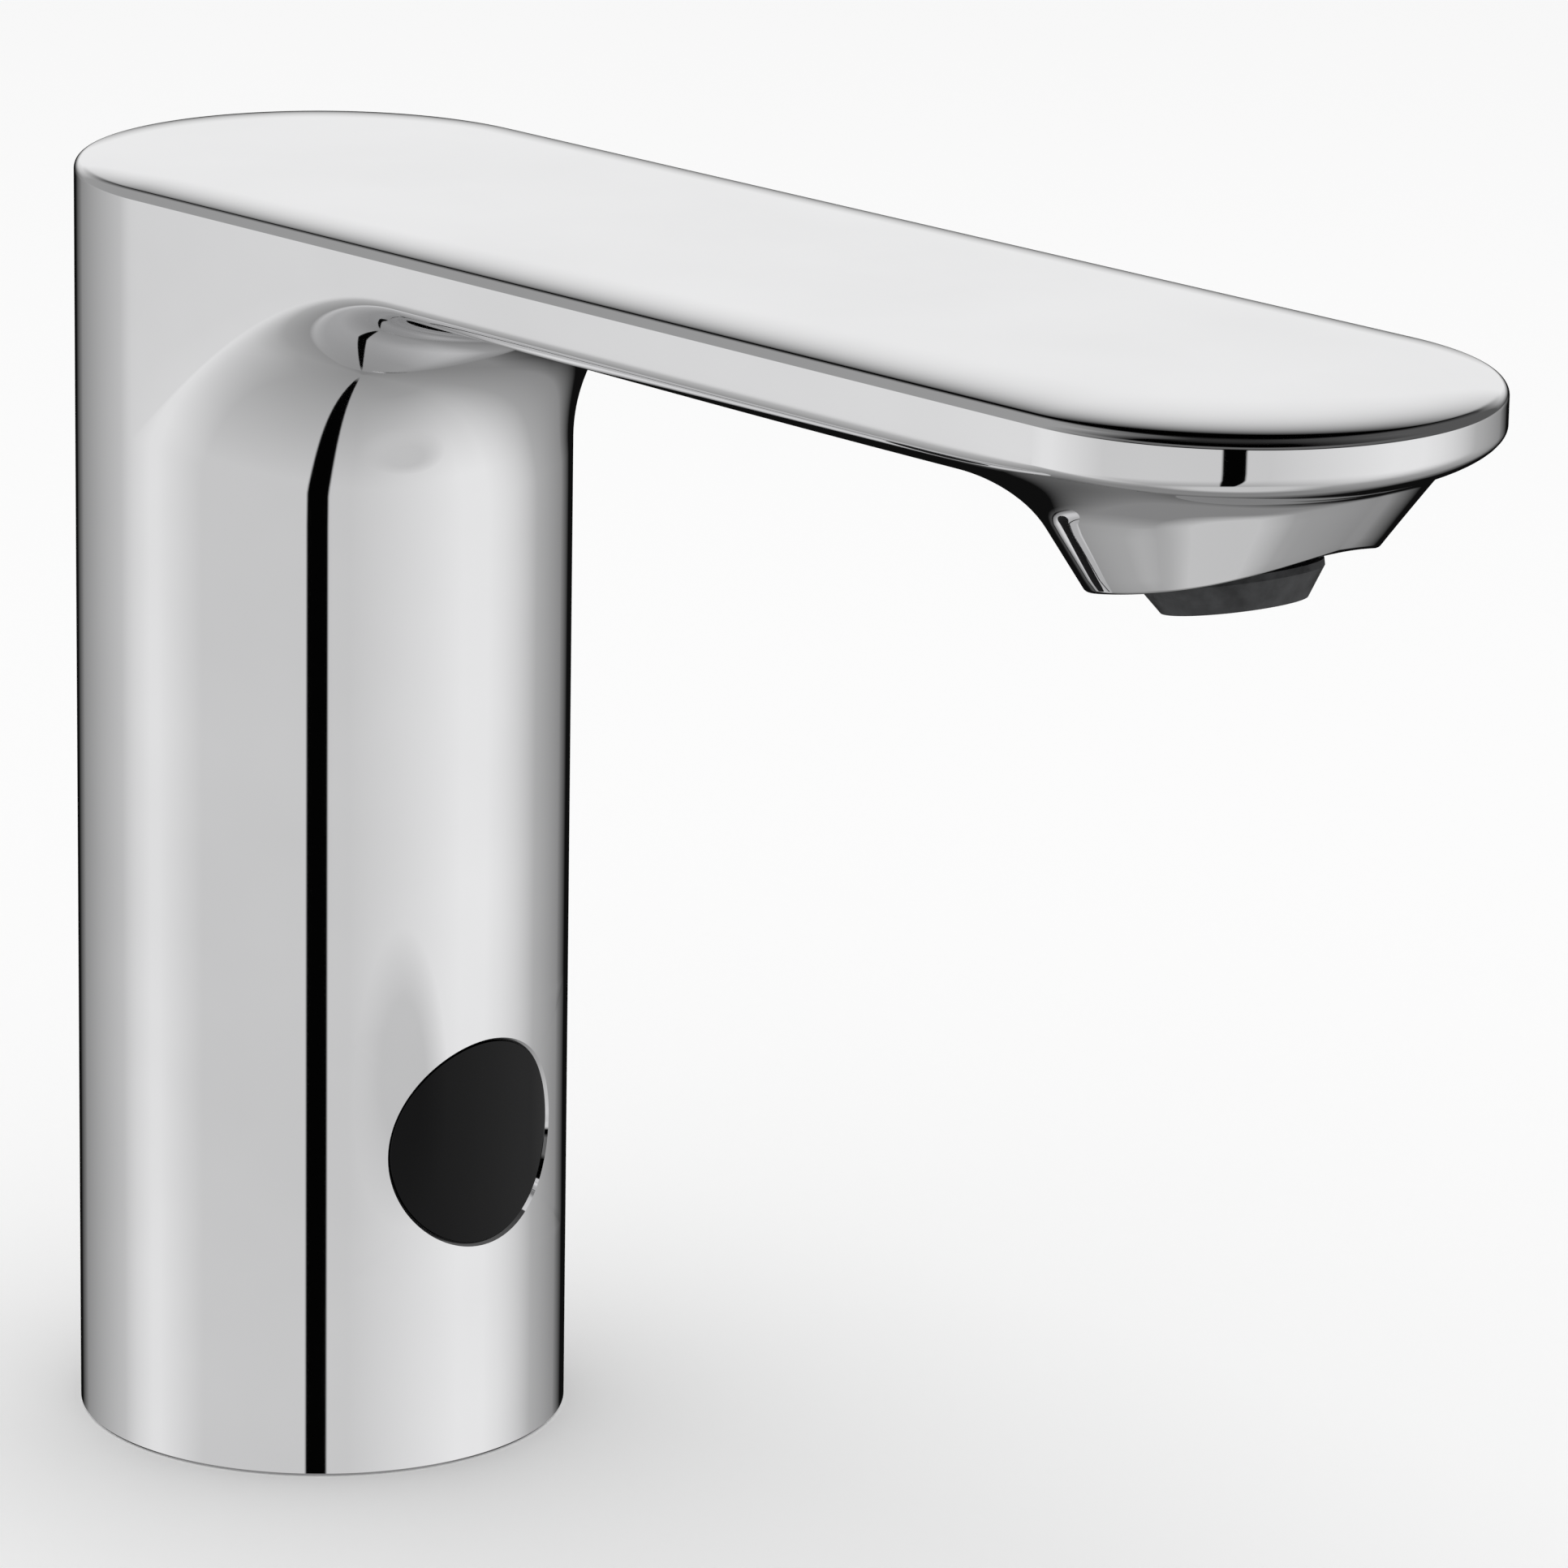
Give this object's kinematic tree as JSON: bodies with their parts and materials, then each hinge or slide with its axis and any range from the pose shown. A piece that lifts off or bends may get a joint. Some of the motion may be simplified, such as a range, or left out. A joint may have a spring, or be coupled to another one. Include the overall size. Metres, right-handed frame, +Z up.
{
  "type": "sensor tap",
  "caption": "Deck-mounted sensor tap with a round column, a flat round-ended spout, a window low on the front and a swivel nozzle under the tip.",
  "frame": {"origin": "on the column's axis, in the plane of the deck it stands on", "axes": "+X along the spout towards its tip, +Z up, +Y to the left of someone looking along +X"},
  "size_m": [0.188, 0.054, 0.1414],
  "materials": {
    "chrome_body": "polished",
    "smoked_window": "gloss",
    "black_nozzle": "matte",
    "dark_insert": "matte",
    "pale_plastic": "satin",
    "black_plastic": "satin",
    "rubber": "matte",
    "silicone": "satin",
    "brass": "machined",
    "steel": "machined",
    "copper": "wound",
    "magnet": "satin",
    "board": "satin",
    "infrared_lens": "gloss",
    "battery_wrap": "gloss",
    "lead_red": "satin",
    "lead_grey": "satin"
  },
  "bodies": {
    "tap_body": {"body_casting": "chrome_body", "base_gasket": "rubber", "base_plate": "brass", "base_screws": "steel", "inlet_connector": "brass", "inlet_oring": "rubber", "inlet_strainer": "steel", "check_valve_body": "pale_plastic", "check_valve_spring": "steel", "valve_body": "black_plastic", "diaphragm": "rubber", "valve_cover": "black_plastic", "valve_screws": "steel", "armature_tube": "steel", "fixed_core": "steel", "plunger_spring": "steel", "coil_bobbin": "pale_plastic", "solenoid_coil": "copper", "solenoid_yoke": "steel", "latch_magnet": "magnet", "outlet_stub": "brass", "outlet_hose": "silicone", "hose_clip": "steel", "spout_bush": "brass", "aerator_housing": "black_plastic", "flow_regulator": "rubber", "aerator_seal": "rubber", "sensor_window": "smoked_window", "window_gasket": "rubber", "sensor_housing": "black_plastic", "sensor_screws": "steel", "circuit_board": "board", "infrared_emitter": "infrared_lens", "infrared_receiver": "infrared_lens", "carrier": "pale_plastic", "battery_holder": "black_plastic", "battery_contacts": "brass", "battery": "battery_wrap", "sensor_lead": "lead_grey", "solenoid_lead": "lead_red"},
    "nozzle_body": {"nozzle": "black_nozzle", "flow_straightener": "dark_insert"},
    "plunger_body": {"plunger": "steel"},
    "diaphragm_centre": {"diaphragm_insert": "pale_plastic"},
    "check_poppet_body": {"check_valve_poppet": "black_plastic"}
  },
  "joints": [
    {"name": "nozzle_tilt", "type": "hinge", "parent": "tap_body", "child": "nozzle_body", "pos_m": [0.13414, 0, 0.12518], "axis": [0, -1, 0], "range_deg": [-3.5, 11.5]},
    {"name": "plunger_lift", "type": "slide", "parent": "tap_body", "child": "plunger_body", "axis": [0, 0, 1], "range_m": [0, 0.001], "stiffness_N_per_m": 300, "springref_m": -0.002, "deforming": ["plunger_spring"]},
    {"name": "diaphragm_lift", "type": "slide", "parent": "tap_body", "child": "diaphragm_centre", "axis": [0, 0, 1], "range_m": [0, 0.0008], "deforming": ["diaphragm"]},
    {"name": "check_lift", "type": "slide", "parent": "tap_body", "child": "check_poppet_body", "axis": [0, 0, 1], "range_m": [0, 0.0016], "stiffness_N_per_m": 60, "springref_m": -0.002, "deforming": ["check_valve_spring"]}
  ],
  "couplings": [
    {"joint": "diaphragm_lift", "follows": "plunger_lift", "ratio": 0.8}
  ]
}
